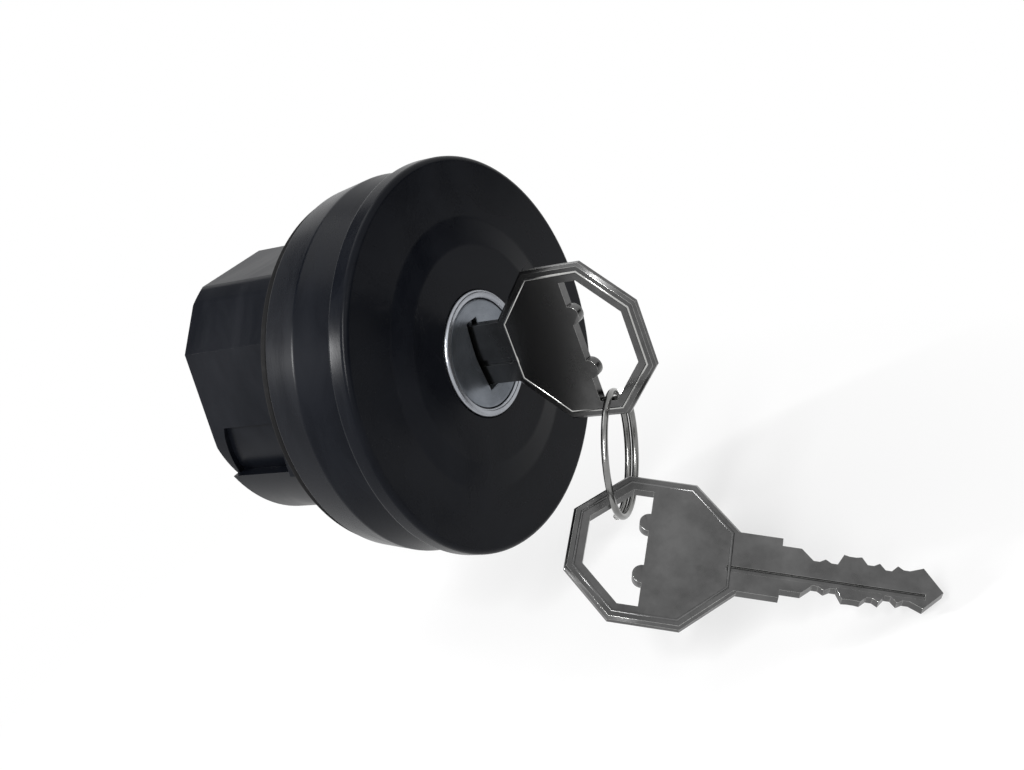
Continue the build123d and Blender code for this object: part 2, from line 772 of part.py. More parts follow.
def make_key_shape():
    """Key in its own frame: bow centre at the origin, blade along +X, heights along Y, face +Z."""
    half = key_thickness / 2
    base = Plane.XY.offset(-half)
    bow = extrude(base * octagon(bow_width), amount=key_thickness)
    rims = bow.edges().group_by(Axis.Z)
    bow = chamfer(rims[0] + rims[-1], bow_bevel)

    window = octagon(bow_width - 2 * bow_rim)
    window &= Pos(window_edge - bow_width, 0) * Rectangle(2 * bow_width, bow_width)
    for sign in (1, -1):
        window -= Pos(window_edge, sign * lug_height) * Circle(lug_radius)
    bow -= extrude(base * window, amount=key_thickness)

    top = blade_side(top_cuts, 1)
    bottom = blade_side(bottom_cuts, -1)
    outline = Polygon(*bottom, (blade_tip, tip_height), *reversed(top), align=None)
    neck_start = bow_width / 2 - neck_root
    outline += Pos((neck_start + neck_reach) / 2, 0) * Rectangle(neck_reach - neck_start, neck_height)
    key = bow + extrude(base * outline, amount=key_thickness)
    low = groove_centre - groove_height / 2
    for side in (half - groove_depth, -half - groove_depth):
        key -= block(groove_start, groove_end, low, low + groove_height, side, side + 2 * groove_depth)
    return key


def key_place():
    """Place of the key in the lock: its blade along +Y, its face square to X."""
    return Plane(origin=(0, key_centre_y, 0), x_dir=(0, 1, 0), z_dir=(1, 0, 0))


def bar_stand_off(wire, over_bar, through_bar):
    """Distance from a bow bar's middle to the ring's wire that crosses it at a slant."""
    bar_corner = math.hypot(bow_rim, key_thickness) / 2
    clear = bar_corner + ring_wire + ring_clearance
    slant = math.hypot(wire.dot(over_bar), wire.dot(through_bar)) / abs(wire.dot(through_bar))
    return clear * slant


def ring_axes():
    """Unit vectors of the ring: towards the lock's key, round from it, and the ring's axis."""
    axis = ring_normal.normalized()
    side = axis.cross(ring_seat_direction).normalized()
    return side.cross(axis), side, axis


def ring_wire_direction(angle):
    up, side, axis = ring_axes()
    a = math.radians(angle)
    run = side * math.cos(a) - up * math.sin(a)
    return (run * (2 * math.pi * ring_radius) + axis * ring_pitch).normalized()


def ring_rise(angle):
    """How far the single strand at an angle lies from the ring's middle plane."""
    travel = (angle - ring_start_angle) % 360
    return ring_pitch * (travel / 360 - ring_turns / 2)


def ring_centre():
    up, side, axis = ring_axes()
    bar_middle = (bow_width - bow_rim) / 2
    off = bar_stand_off(ring_wire_direction(0), Vector(0, 0, 1), Vector(1, 0, 0))
    seat = Vector(0, key_centre_y + ring_seat_shift, off - bar_middle)
    return seat - up * ring_radius - axis * ring_rise(0)


def ring_point(angle):
    up, side, axis = ring_axes()
    a = math.radians(angle)
    outward = up * math.cos(a) + side * math.sin(a)
    return ring_centre() + outward * ring_radius + axis * ring_rise(angle)


def make_split_ring():
    up, side, axis = ring_axes()
    a = math.radians(ring_start_angle)
    start = up * math.cos(a) + side * math.sin(a)
    base = ring_centre() - axis * (ring_pitch * ring_turns / 2)
    path = Helix(pitch=ring_pitch, height=ring_pitch * ring_turns, radius=ring_radius)
    section = Plane(origin=path @ 0, z_dir=path % 0) * RegularPolygon(ring_wire, 8)
    return Plane(origin=base, x_dir=start, z_dir=axis) * sweep(section, path=path)


def spare_place():
    """Place of the spare key: the ring runs round the middle of a corner bar of its bow."""
    along = spare_axis.normalized()
    height = spare_face.cross(along).normalized()
    face = along.cross(height)
    corner = (height - along).normalized()
    off = bar_stand_off(ring_wire_direction(spare_seat_angle), corner, face)
    reach = (bow_width - bow_rim) / 2 - off
    return Plane(origin=ring_point(spare_seat_angle) - corner * reach, x_dir=along, z_dir=face)


# ---------------------------------------------------------------- every piece, one file each

parts = {
    "cap_body": make_cap_body(),
    "gasket": make_gasket(),
    "cover": make_cover(),
    "bezel_ring": make_bezel_ring(),
    "lock_housing": make_lock_housing(),
    "housing_pin": make_housing_pin(),
    "plug_face": make_plug_face(),
    "lock_plug": make_lock_plug(),
    "dust_shutter": make_dust_shutter(),
    "shutter_spring": make_shutter_spring(),
    "plug_clip": make_plug_clip(),
    "drive_cam": make_drive_cam(),
    "clutch_carrier": make_clutch_carrier(),
    "carrier_screws": make_carrier_screws(),
    "upper_clutch_bolt": make_clutch_bolt(1),
    "lower_clutch_bolt": make_clutch_bolt(-1),
    "end_plate": make_end_plate(),
    "spring_retainer": make_spring_retainer(),
    "relief_plunger": make_relief_plunger(),
    "relief_seal": make_relief_seal(),
    "relief_spring": make_relief_spring(),
    "vacuum_poppet": make_vacuum_poppet(),
    "vacuum_spring": make_vacuum_spring(),
    "key": key_place() * make_key_shape(),
    "split_ring": make_split_ring(),
    "spare_key": spare_place() * make_key_shape(),
}
for station in range(wafer_count):
    parts[f"wafer_{station + 1}"] = make_wafer(station)
    parts[f"wafer_spring_{station + 1}"] = make_wafer_spring(station)

os.makedirs("parts", exist_ok=True)
for name, shape in parts.items():
    export_step(shape, f"parts/{name}.step")
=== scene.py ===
import bpy
import bmesh
import json
import math
from mathutils import Matrix, Vector


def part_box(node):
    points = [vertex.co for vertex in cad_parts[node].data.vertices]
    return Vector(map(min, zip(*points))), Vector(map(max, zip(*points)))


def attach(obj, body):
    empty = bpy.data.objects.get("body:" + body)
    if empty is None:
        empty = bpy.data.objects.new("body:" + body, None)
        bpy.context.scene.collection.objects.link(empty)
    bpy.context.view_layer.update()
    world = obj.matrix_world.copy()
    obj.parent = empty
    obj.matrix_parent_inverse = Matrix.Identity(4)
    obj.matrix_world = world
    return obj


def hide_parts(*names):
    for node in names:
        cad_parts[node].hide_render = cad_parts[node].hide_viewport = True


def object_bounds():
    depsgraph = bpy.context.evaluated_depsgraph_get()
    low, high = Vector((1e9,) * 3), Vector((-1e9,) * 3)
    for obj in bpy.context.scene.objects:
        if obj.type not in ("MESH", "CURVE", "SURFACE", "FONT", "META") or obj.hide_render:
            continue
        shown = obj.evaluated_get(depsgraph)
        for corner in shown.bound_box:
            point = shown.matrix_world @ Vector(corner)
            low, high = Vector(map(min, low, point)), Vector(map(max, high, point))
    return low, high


# Locking fuel filler cap: black nylon cover and neck insert, a bright bezel round a dished lock
# face, and two nickel-plated keys on a split ring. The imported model's frame is in metres: the
# cap's axis is Y, the cover faces -Y and the key slot stands along Z. Sizes that are named here
# are in millimetres, and studio places are in metres.

MM = 0.001  # one millimetre in metres
CAP_AXIS = Vector((0, 1, 0))

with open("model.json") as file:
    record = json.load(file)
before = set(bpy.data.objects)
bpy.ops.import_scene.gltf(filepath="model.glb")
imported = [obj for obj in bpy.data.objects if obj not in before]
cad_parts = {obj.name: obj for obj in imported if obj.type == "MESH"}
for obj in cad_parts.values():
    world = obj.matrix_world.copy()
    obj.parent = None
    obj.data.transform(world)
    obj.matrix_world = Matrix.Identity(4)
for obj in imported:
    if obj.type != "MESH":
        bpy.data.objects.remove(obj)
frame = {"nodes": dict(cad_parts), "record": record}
nodes = frame["nodes"]
cad_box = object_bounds()


def add_object(name, data):
    """New object in the scene that shows a mesh, a curve, a lamp or a camera."""
    obj = bpy.data.objects.new(name, data)
    bpy.context.scene.collection.objects.link(obj)
    return obj


def mesh_from(name, bm):
    """New mesh with the faces of a bmesh, which is freed."""
    mesh = bpy.data.meshes.new(name)
    bm.to_mesh(mesh)
    bm.free()
    return mesh


# ------------------------------------------------------------------ node helpers for materials

# Sockets of a Mix node that mixes colours
COLOUR_A = 6
COLOUR_B = 7
COLOUR_OUT = 2


class Shader:
    """One material being built: adds nodes and links with short calls."""

    def __init__(self, name):
        self.material = bpy.data.materials.new(name)
        self.material.use_nodes = True
        self.tree = self.material.node_tree
        self.tree.nodes.clear()
        self.out = self.tree.nodes.new("ShaderNodeOutputMaterial")
        self.bsdf = self.tree.nodes.new("ShaderNodeBsdfPrincipled")
        self.link(self.bsdf, "BSDF", self.out, "Surface")

    def add(self, kind, **values):
        """New node, whose inputs or settings of these names get these values."""
        node = self.tree.nodes.new(kind)
        for key, value in values.items():
            if key in node.inputs:
                node.inputs[key].default_value = value
            else:
                setattr(node, key, value)
        return node

    def link(self, source, output, target, entry):
        """Joins an output of one node to an input of another."""
        self.tree.links.new(source.outputs[output], target.inputs[entry])

    def place(self, per_mm):
        """Object coordinates, counted in cells per millimetre along each axis."""
        coords = self.add("ShaderNodeTexCoord")
        mapping = self.add("ShaderNodeMapping", Scale=tuple(cells / MM for cells in per_mm))
        self.link(coords, "Object", mapping, "Vector")
        return mapping

    def noise(self, per_mm, detail=4.0, rough=0.6, distortion=0.0):
        """Fractal noise with this many cells per millimetre along each axis."""
        node = self.add("ShaderNodeTexNoise", Scale=1.0, Detail=detail, Roughness=rough,
                        Distortion=distortion)
        self.link(self.place(per_mm), "Vector", node, "Vector")
        return node

    def ramp(self, source, output, low, high, first, last):
        """Maps a value between low and high to the range from first to last."""
        node = self.add("ShaderNodeMapRange")
        node.inputs["From Min"].default_value = low
        node.inputs["From Max"].default_value = high
        node.inputs["To Min"].default_value = first
        node.inputs["To Max"].default_value = last
        self.link(source, output, node, "Value")
        return node

    def tint(self, noise, low, high, first, last):
        """Base colour that goes from first to last where the noise runs from low to high."""
        node = self.add("ShaderNodeMix", data_type="RGBA")
        self.link(self.ramp(noise, "Fac", low, high, 0.0, 1.0), "Result", node, "Factor")
        node.inputs[COLOUR_A].default_value = (*first, 1.0)
        node.inputs[COLOUR_B].default_value = (*last, 1.0)
        self.link(node, COLOUR_OUT, self.bsdf, "Base Color")

    def sheen(self, noise, low, high, first, last):
        """Roughness that goes from first to last where the noise runs from low to high."""
        self.link(self.ramp(noise, "Fac", low, high, first, last), "Result", self.bsdf, "Roughness")

    def bump(self, noise, height, below=None):
        """Bump of that height in millimetres, on top of another bump."""
        node = self.add("ShaderNodeBump", Strength=1.0, Distance=height * MM)
        self.link(noise, "Fac", node, "Height")
        if below is not None:
            self.link(below, "Normal", node, "Normal")
        self.link(node, "Normal", self.bsdf, "Normal")
        return node

    def constants(self, **values):
        """Plain values of the surface, with underscores for the blanks in their names."""
        for key, value in values.items():
            self.bsdf.inputs[key.replace("_", " ")].default_value = value


def srgb(red, green, blue):
    """Linear colour from an 8-bit display colour."""
    def one(value):
        share = value / 255
        return share / 12.92 if share <= 0.04045 else ((share + 0.055) / 1.055) ** 2.4
    return one(red), one(green), one(blue)


# ------------------------------------------------------------------ materials

FLOW_GAIN = 1.35
FLOW_LIFT = 0.002
CROSSING_FINENESS = 2.3
CROSSING_SHALLOWNESS = 0.5
TARNISH_ROUGHNESS = 0.08


def moulded_nylon(name, colour, roughness, grain_per_mm, grain_height, specular):
    """Satin black nylon: fine spark-eroded grain over faint flow marks."""
    shader = Shader(name)
    grain = shader.noise(per_mm=(grain_per_mm,) * 3, detail=3.0, rough=0.7)
    flow = shader.noise(per_mm=(0.05, 0.12, 0.05), detail=5.0, distortion=0.8)
    lighter = tuple(FLOW_GAIN * part + FLOW_LIFT for part in colour)
    shader.tint(flow, low=0.35, high=0.7, first=colour, last=lighter)
    shader.sheen(flow, low=0.3, high=0.7, first=roughness - 0.05, last=roughness + 0.06)
    waves = shader.bump(flow, height=0.02)
    shader.bump(grain, grain_height, waves)
    shader.constants(Specular_IOR_Level=specular)
    return shader.material


def nitrile_rubber():
    """Matt black gasket rubber with a little bloom and fine pits."""
    shader = Shader("nitrile_rubber")
    bloom = shader.noise(per_mm=(0.5, 0.5, 0.5), detail=6.0)
    pits = shader.noise(per_mm=(5.0, 5.0, 5.0), detail=2.0)
    shader.tint(bloom, low=0.45, high=0.75, first=srgb(7, 7, 8), last=srgb(14, 14, 15))
    shader.sheen(bloom, low=0.3, high=0.7, first=0.62, last=0.8)
    shader.bump(pits, height=0.02)
    shader.constants(Specular_IOR_Level=0.1)
    return shader.material


def plated_metal(name, colour, dark, roughness, scratches_per_mm, scratch_height):
    """Plated steel or brass: clouded tarnish over fine handling scratches in two directions."""
    shader = Shader(name)
    crossing = tuple(CROSSING_FINENESS * cells for cells in reversed(scratches_per_mm))
    cloud = shader.noise(per_mm=(0.12, 0.12, 0.12), detail=6.0, rough=0.65)
    scratch = shader.noise(per_mm=scratches_per_mm, detail=2.0, rough=0.5, distortion=0.4)
    fine = shader.noise(per_mm=crossing, detail=2.0, rough=0.5)
    shader.tint(cloud, low=0.35, high=0.75, first=colour, last=dark)
    shader.sheen(cloud, low=0.3, high=0.75, first=roughness, last=roughness + TARNISH_ROUGHNESS)
    first = shader.bump(scratch, scratch_height)
    shader.bump(fine, CROSSING_SHALLOWNESS * scratch_height, first)
    shader.constants(Metallic=1.0)
    return shader.material


def turned_steel():
    """Lathe-turned stainless: fine rings round the axis, which fan the highlights out."""
    shader = Shader("turned_steel")
    coords = shader.add("ShaderNodeTexCoord")
    split = shader.add("ShaderNodeSeparateXYZ")
    shader.link(coords, "Object", split, "Vector")
    flat = shader.add("ShaderNodeCombineXYZ")
    shader.link(split, "X", flat, "X")
    shader.link(split, "Z", flat, "Z")
    radius = shader.add("ShaderNodeVectorMath", operation="LENGTH")
    shader.link(flat, "Vector", radius, 0)
    in_mm = shader.add("ShaderNodeMath", operation="MULTIPLY")
    in_mm.inputs[1].default_value = 1 / MM
    shader.link(radius, "Value", in_mm, 0)
    rings = shader.add("ShaderNodeTexNoise", noise_dimensions="1D", Scale=9.0, Detail=3.0, Roughness=0.7)
    shader.link(in_mm, "Value", rings, "W")
    cloud = shader.noise(per_mm=(0.3, 0.3, 0.3), detail=5.0)
    shader.tint(cloud, low=0.35, high=0.75, first=srgb(122, 127, 134), last=srgb(102, 107, 114))
    shader.sheen(rings, low=0.3, high=0.7, first=0.26, last=0.36)
    tangent = shader.add("ShaderNodeTangent", direction_type="RADIAL", axis="Y")
    shader.link(tangent, "Tangent", shader.bsdf, "Tangent")
    shader.bump(rings, height=0.006)
    shader.constants(Metallic=1.0, Anisotropic=0.75, Anisotropic_Rotation=0.25)
    return shader.material


def cast_zinc():
    """Die-cast zinc: dull grey with a fine frosty skin."""
    shader = Shader("cast_zinc")
    skin = shader.noise(per_mm=(1.5, 1.5, 1.5), detail=5.0)
    shader.tint(skin, low=0.35, high=0.7, first=srgb(150, 152, 155), last=srgb(118, 120, 124))
    shader.sheen(skin, low=0.3, high=0.7, first=0.42, last=0.58)
    shader.bump(skin, height=0.02)
    shader.constants(Metallic=1.0)
    return shader.material


def natural_acetal():
    """Milky white moulded acetal."""
    shader = Shader("natural_acetal")
    haze = shader.noise(per_mm=(0.3, 0.3, 0.3), detail=4.0)
    shader.tint(haze, low=0.35, high=0.7, first=srgb(222, 220, 212), last=srgb(206, 203, 194))
    shader.sheen(haze, low=0.3, high=0.7, first=0.34, last=0.46)
    shader.bump(haze, height=0.02)
    return shader.material


# Grain and scratches are in cells per millimetre, and their heights in millimetres.
cover_nylon = moulded_nylon("cover_nylon", srgb(10, 12, 17), roughness=0.27, grain_per_mm=3.2,
                            grain_height=0.004, specular=0.07)
body_nylon = moulded_nylon("body_nylon", srgb(9, 11, 16), roughness=0.33, grain_per_mm=2.4,
                           grain_height=0.008, specular=0.09)
rubber = nitrile_rubber()
bezel_chrome = plated_metal("bezel_chrome", srgb(165, 168, 174), srgb(140, 143, 149), roughness=0.22,
                            scratches_per_mm=(0.3, 3.0, 0.3), scratch_height=0.002)
face_steel = turned_steel()
key_nickel = plated_metal("key_nickel", srgb(104, 104, 104), srgb(74, 74, 74), roughness=0.22,
                          scratches_per_mm=(4.0, 0.25, 0.9), scratch_height=0.006)
# Brighter metal for the keys' bevelled edges: partly worn nickel, partly a painted highlight that stands
# in for bright edge lines
worn_edge_and_highlight = plated_metal("worn_edge_and_highlight", srgb(190, 190, 188), srgb(160, 160, 158), roughness=0.14,
                             scratches_per_mm=(1.5, 1.5, 1.5), scratch_height=0.002)
ring_nickel = plated_metal("ring_nickel", srgb(138, 138, 137), srgb(108, 108, 106), roughness=0.16,
                           scratches_per_mm=(1.2, 1.2, 1.2), scratch_height=0.003)
spring_steel = plated_metal("spring_steel", srgb(170, 171, 173), srgb(128, 129, 131), roughness=0.25,
                            scratches_per_mm=(2.0, 2.0, 2.0), scratch_height=0.003)
wafer_brass = plated_metal("wafer_brass", srgb(214, 182, 110), srgb(184, 150, 84), roughness=0.28,
                           scratches_per_mm=(3.0, 0.4, 0.4), scratch_height=0.004)
zinc = cast_zinc()
acetal = natural_acetal()

finish_of_slot = {
    "black_body": body_nylon,
    "cover_plastic": cover_nylon,
    "gasket_rubber": rubber,
    "bezel_chrome": bezel_chrome,
    "face_steel": face_steel,
    "zinc_cast": zinc,
    "wafer_brass": wafer_brass,
    "spring_steel": spring_steel,
    "key_nickel": key_nickel,
    "ring_steel": ring_nickel,
    "acetal_white": acetal,
    "screw_steel": spring_steel,
}


def dress(obj, material):
    """Gives an object this material only."""
    obj.data.materials.clear()
    obj.data.materials.append(material)


for part in frame["record"]["subparts"]:
    dress(nodes[part["node"]], finish_of_slot[part["material_slot"]])


def weigh_normals(obj):
    """Large faces lead the shading, so that they look flat beside small rounded ones."""
    normals = obj.modifiers.new("normals", "WEIGHTED_NORMAL")
    normals.keep_sharp = True


SOFTENED_ANGLE = math.radians(32)
WELD_DISTANCE = 0.001


def soften(node, width, segments=3, edge_material=None):
    """Rounds a CAD node's edges by a small bevel and keeps its flat faces flat."""
    obj = nodes[node]
    obj.data.shade_smooth()
    weld = obj.modifiers.new("weld", "WELD")
    weld.merge_threshold = WELD_DISTANCE * MM
    bevel = obj.modifiers.new("bevel", "BEVEL")
    bevel.width = width * MM
    bevel.segments = segments
    bevel.limit_method = "ANGLE"
    bevel.angle_limit = SOFTENED_ANGLE
    bevel.use_clamp_overlap = True
    bevel.harden_normals = True
    if edge_material is not None:
        obj.data.materials.append(edge_material)
        bevel.material = 1
    weigh_normals(obj)


# ------------------------------------------------------------------ turned pieces

def rounded(corners, steps=6):
    """Closed outline from (radius, y, rounding) in mm: an arc at each corner, or none where it is 0."""
    points = []
    count = len(corners)
    for k, (radius, y, size) in enumerate(corners):
        here = Vector((radius, y))
        if size <= 0:
            points.append(here)
            continue
        before = (Vector(corners[k - 1][:2]) - here).normalized()
        after = (Vector(corners[(k + 1) % count][:2]) - here).normalized()
        half = before.angle(after) / 2
        reach = size / math.tan(half)
        centre = here + (before + after).normalized() * (size / math.sin(half))
        first = here + before * reach - centre
        last = here + after * reach - centre
        turn = first.angle_signed(last)
        for i in range(steps + 1):
            angle = -turn * i / steps
            points.append(centre + Matrix.Rotation(angle, 2) @ first)
    return points


def turned(name, corners, segments=192, steps=6):
    """Solid of revolution about the Y axis from a closed outline in mm."""
    outline = rounded(corners, steps)
    bm = bmesh.new()
    rings = []
    for k in range(segments):
        angle = 2 * math.pi * k / segments
        spoke = Vector((math.cos(angle), 0, math.sin(angle)))
        places = [(spoke * point.x + CAP_AXIS * point.y) * MM for point in outline]
        rings.append([bm.verts.new(place) for place in places])
    count = len(outline)
    for k in range(segments):
        here, there = rings[k], rings[(k + 1) % segments]
        for i in range(count):
            j = (i + 1) % count
            bm.faces.new((here[i], here[j], there[j], there[i]))
    bmesh.ops.recalc_face_normals(bm, faces=bm.faces)
    obj = add_object(name, mesh_from(name, bm))
    obj.data.shade_smooth()
    weigh_normals(obj)
    return obj


RIB_EDGE = 0.2


def bars(name, inner, outer, y_low, y_high, width, count, first_angle):
    """Straight ribs between two radii, evenly spaced round the Y axis, in mm and degrees."""
    bm = bmesh.new()
    for k in range(count):
        made = bmesh.ops.create_cube(bm, size=1.0)["verts"]
        size = Matrix.Diagonal(((outer - inner) * MM, (y_high - y_low) * MM, width * MM, 1))
        middle = Matrix.Translation(((outer + inner) / 2 * MM, (y_high + y_low) / 2 * MM, 0))
        spin = Matrix.Rotation(-math.radians(first_angle + 360 / count * k), 4, "Y")
        bmesh.ops.transform(bm, matrix=spin @ middle @ size, verts=made)
    obj = add_object(name, mesh_from(name, bm))
    edge = obj.modifiers.new("edge", "BEVEL")
    edge.width = RIB_EDGE * MM
    edge.segments = 2
    return obj


# Grip cover
PLATEAU_RADIUS = 19.4
PLATEAU_FOOT = 24.2
PLATEAU_HEIGHT = 0.8
COVER_RIM = 4.0
COVER_WALL = 2.4
BARREL_NECK = 32.6
BARREL_CREST = 34.2
BARREL_MOUTH = 33.0
BARREL_WALL = 1.8
BARREL_LENGTH = 16.1
CREST_DEPTH = 8.6

# The cover's hub, which holds the lock, and the ribs between it and the barrel
HUB_RADIUS = 14.6
HUB_SHOULDER = 1.9
HUB_PLAY = 0.1
HOUSING_RADIUS = 10.4
HOUSING_FLANGE = 1.0
FIT_CLEARANCE = 0.05
RIB_WIDTH = 1.6
RIB_COUNT = 6
RIB_FIRST_ANGLE = 30
RIB_CLEARANCE = 1.0
RIB_WALL_SINK = 0.1
RIB_FLOOR_SINK = 0.2

# Rounding of the cover's edges
PLATEAU_BEND = 5.0
RIM_EDGE = 1.1
RIM_BACK_EDGE = 0.7
CREST_BEND = 2.0
CREST_INNER_BEND = 1.0
CORNER_EDGE = 0.5
LIP_EDGE = 0.3
BORE_EDGE = 0.25
HUB_EDGE = 0.2

# Bezel, gasket and the body that the gasket lies on
BEZEL_RADIUS = 11.25
BEZEL_WIDTH = 1.5
BEZEL_EDGE = 0.55
BEZEL_BACK_EDGE = 0.1
FLANGE_THICKNESS = 3.4
LAND_RADIUS = 26.0
GASKET_CLEARANCE = 0.1
GASKET_EDGE = 0.3
GASKET_BORE_EDGE = 0.1
GASKET_RIM_EDGE = 0.6

bezel_low, bezel_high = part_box("bezel_ring")
gasket_low, gasket_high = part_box("gasket")
bezel_front = bezel_low.y / MM
bezel_rear = bezel_high.y / MM
gasket_front = gasket_low.y / MM
gasket_rear = gasket_high.y / MM
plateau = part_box("cover")[0].y / MM
cover_front = plateau + PLATEAU_HEIGHT
cover_rear = cover_front + COVER_RIM
cover_floor = cover_front + COVER_WALL
crest = cover_rear + CREST_DEPTH
mouth = cover_rear + BARREL_LENGTH
flange_front = gasket_front - FLANGE_THICKNESS
shoulder_rear = flange_front - HUB_PLAY
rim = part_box("cover")[1].x / MM
hub_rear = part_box("cover")[1].y / MM
housing_seat = bezel_rear + HOUSING_FLANGE
shoulder = HUB_RADIUS + HUB_SHOULDER
bezel_bore = BEZEL_RADIUS + FIT_CLEARANCE
housing_bore = HOUSING_RADIUS + FIT_CLEARANCE

# The cover: a shallow plateau round the lock, a rolled rim and a bellied grip barrel behind it.
cover_outline = [
    (bezel_bore, plateau, BORE_EDGE),
    (PLATEAU_RADIUS, plateau, PLATEAU_BEND),
    (PLATEAU_FOOT, cover_front, PLATEAU_BEND),
    (rim, cover_front, RIM_EDGE),
    (rim, cover_rear, RIM_BACK_EDGE),
    (BARREL_NECK, cover_rear, CORNER_EDGE),
    (BARREL_CREST, crest, CREST_BEND),
    (BARREL_MOUTH, mouth, CORNER_EDGE),
    (BARREL_MOUTH - BARREL_WALL, mouth, LIP_EDGE),
    (BARREL_CREST - BARREL_WALL, crest, CREST_INNER_BEND),
    (BARREL_NECK - BARREL_WALL, cover_rear, CORNER_EDGE),
    (BARREL_NECK - BARREL_WALL, cover_floor, CORNER_EDGE),
    (shoulder, cover_floor, CORNER_EDGE),
    (shoulder, shoulder_rear, HUB_EDGE),
    (HUB_RADIUS, shoulder_rear, 0),
    (HUB_RADIUS, hub_rear, HUB_EDGE),
    (housing_bore, hub_rear, HUB_EDGE),
    (housing_bore, housing_seat, 0),
    (bezel_bore, housing_seat, 0),
]
cover_shell = turned("cover_shell", cover_outline, segments=256)
hub_ribs = bars(
    "cover_hub_ribs",
    inner=shoulder - RIB_WALL_SINK,
    outer=BARREL_NECK - BARREL_WALL + RIB_WALL_SINK,
    y_low=cover_floor - RIB_FLOOR_SINK,
    y_high=flange_front - RIB_CLEARANCE,
    width=RIB_WIDTH,
    count=RIB_COUNT,
    first_angle=RIB_FIRST_ANGLE,
)
for piece in (cover_shell, hub_ribs):
    dress(piece, cover_nylon)
    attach(piece, "cover_group")
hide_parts("cover")

# The bezel: a polished ring with a well rounded front edge.
bezel_outline = [
    (BEZEL_RADIUS - BEZEL_WIDTH, bezel_rear, BEZEL_BACK_EDGE),
    (BEZEL_RADIUS - BEZEL_WIDTH, bezel_front, BEZEL_EDGE),
    (BEZEL_RADIUS, bezel_front, BEZEL_EDGE),
    (BEZEL_RADIUS, bezel_rear, BEZEL_BACK_EDGE),
]
bezel = turned("bezel_rim", bezel_outline, steps=8)
dress(bezel, bezel_chrome)
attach(bezel, "cover_group")
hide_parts("bezel_ring")

# The gasket: slips over the insert's round land, with its rear rim well rounded.
gasket_bore = LAND_RADIUS + GASKET_CLEARANCE
gasket_rim = gasket_high.x / MM
gasket_outline = [
    (gasket_bore, gasket_rear, GASKET_EDGE),
    (gasket_bore, gasket_front, GASKET_BORE_EDGE),
    (gasket_rim, gasket_front, GASKET_EDGE),
    (gasket_rim, gasket_rear, GASKET_RIM_EDGE),
]
gasket = turned("gasket_lip", gasket_outline)
dress(gasket, rubber)
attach(gasket, "neck_insert")
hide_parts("gasket")


# ------------------------------------------------------------------ split ring

RING_RADIUS = 10.7
RING_WIRE = 0.6
RING_PITCH = 1.3
RING_TURNS = 1.5
RING_START = math.radians(13)
RING_STEPS = 240
RING_NORMAL = Vector((-0.295, 0.937, 0.185))
RING_SEAT_DIRECTION = Vector((0.234, -0.117, 0.966))  # from its centre to the key in the lock


def lay_points(line, places):
    """Lays a new straight-sided line, which has one point so far, through these places."""
    line.points.add(len(places) - 1)
    for point, place in zip(line.points, places):
        point.co = (*place, 1)


def wire(name, radius, roundness):
    """Empty curve whose lines get the thickness of a round wire, radius in mm."""
    curve = bpy.data.curves.new(name, "CURVE")
    curve.dimensions = "3D"
    curve.bevel_depth = radius * MM
    curve.bevel_resolution = roundness
    return curve


def make_split_ring():
    """Wire wound one and a half turns, so that two strands lie side by side on half of the ring."""
    low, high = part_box("split_ring")
    axis = RING_NORMAL.normalized()
    side = axis.cross(RING_SEAT_DIRECTION).normalized()
    up = side.cross(axis)
    route = []
    for k in range(RING_STEPS + 1):
        share = k / RING_STEPS
        angle = RING_START + 2 * math.pi * RING_TURNS * share
        rise = RING_PITCH * RING_TURNS * (share - 0.5)
        route.append((up * math.cos(angle) + side * math.sin(angle)) * RING_RADIUS + axis * rise)
    # The wire's own box gives the ring's centre
    lowest = Vector([min(place[i] for place in route) for i in range(3)])
    highest = Vector([max(place[i] for place in route) for i in range(3)])
    centre = (low + high) / 2 - (lowest + highest) * MM / 2
    curve = wire("split_ring_wire", RING_WIRE, roundness=6)
    curve.use_fill_caps = True
    line = curve.splines.new("POLY")
    lay_points(line, [centre + place * MM for place in route])
    line.use_smooth = True
    obj = add_object("split_ring_wire", curve)
    curve.materials.append(ring_nickel)
    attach(obj, "ring")
    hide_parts("split_ring")


make_split_ring()

# ------------------------------------------------------------------ softened CAD nodes

KEY_EDGE = 0.16
edge_widths = {
    "cap_body": 0.25,
    "end_plate": 0.2,
    "clutch_carrier": 0.2,
    "plug_face": 0.1,
    "lock_housing": 0.1,
    "drive_cam": 0.1,
    "upper_clutch_bolt": 0.1,
    "lower_clutch_bolt": 0.1,
}
for name, obj in nodes.items():
    if name in edge_widths:
        soften(name, edge_widths[name])
    elif name in ("key", "spare_key"):
        # The keys' bevels get the brighter edge metal: worn nickel with a painted highlight
        soften(name, KEY_EDGE, segments=2, edge_material=worn_edge_and_highlight)
    else:
        obj.data.shade_smooth()

# ------------------------------------------------------------------ raised rims of the key bows

BOW_HALF = 14.0
BOW_SIDES = 8
RIM_APOTHEM = 12.55
RIM_WIRE = 0.32
RIM_PROUD = 0.12
# Directions of each key's length, from its bow to its tip, and of its face
KEY_AXIS = CAP_AXIS
KEY_FACE = Vector((1, 0, 0))
SPARE_AXIS = Vector((0.347, -0.841, -0.416))
SPARE_FACE = Vector((-0.306, -0.521, 0.797))


def spread_along(places, axis):
    """Lowest and highest place along an axis."""
    shares = [place.dot(axis) for place in places]
    return min(shares), max(shares)


